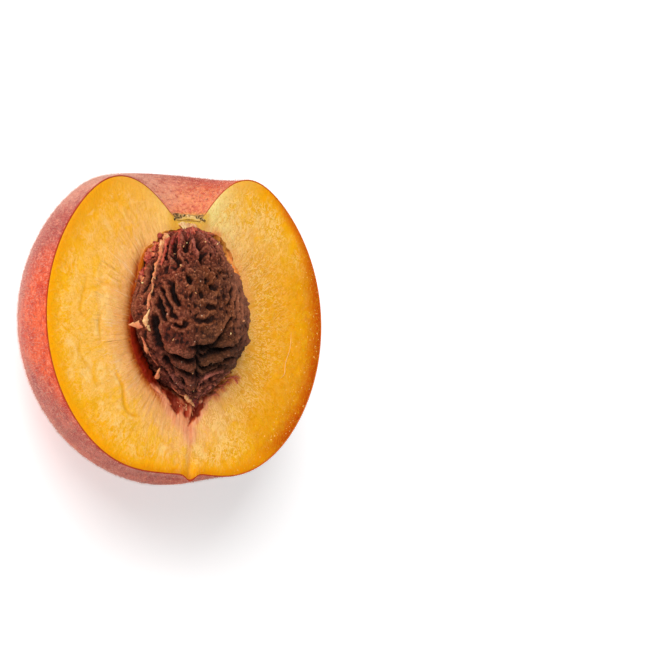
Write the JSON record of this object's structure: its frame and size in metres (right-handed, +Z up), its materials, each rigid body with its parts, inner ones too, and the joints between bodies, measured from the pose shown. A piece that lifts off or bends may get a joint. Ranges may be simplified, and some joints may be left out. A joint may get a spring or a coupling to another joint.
{
  "type": "peach half",
  "caption": "Half of a ripe yellow peach, cut from stalk end to tip, lying on its round back with the cut face up and the furrowed stone still in its pocket.",
  "frame": {"origin": "on the surface that the half rests on, below the middle of its outline", "axes": "+Z up, out of the cut face; +Y towards the stalk end; +X across the cut face, towards the fuller cheek"},
  "size_m": [0.0712, 0.0676, 0.048],
  "materials": {
    "flesh": "moist fruit flesh with downy skin on its back",
    "stone": "rough, woody and slightly moist",
    "stalk_scar": "dry and fibrous"
  },
  "bodies": {
    "root": {"flesh": "flesh", "stone": "stone", "stalk_scar": "stalk_scar"}
  },
  "joints": []
}
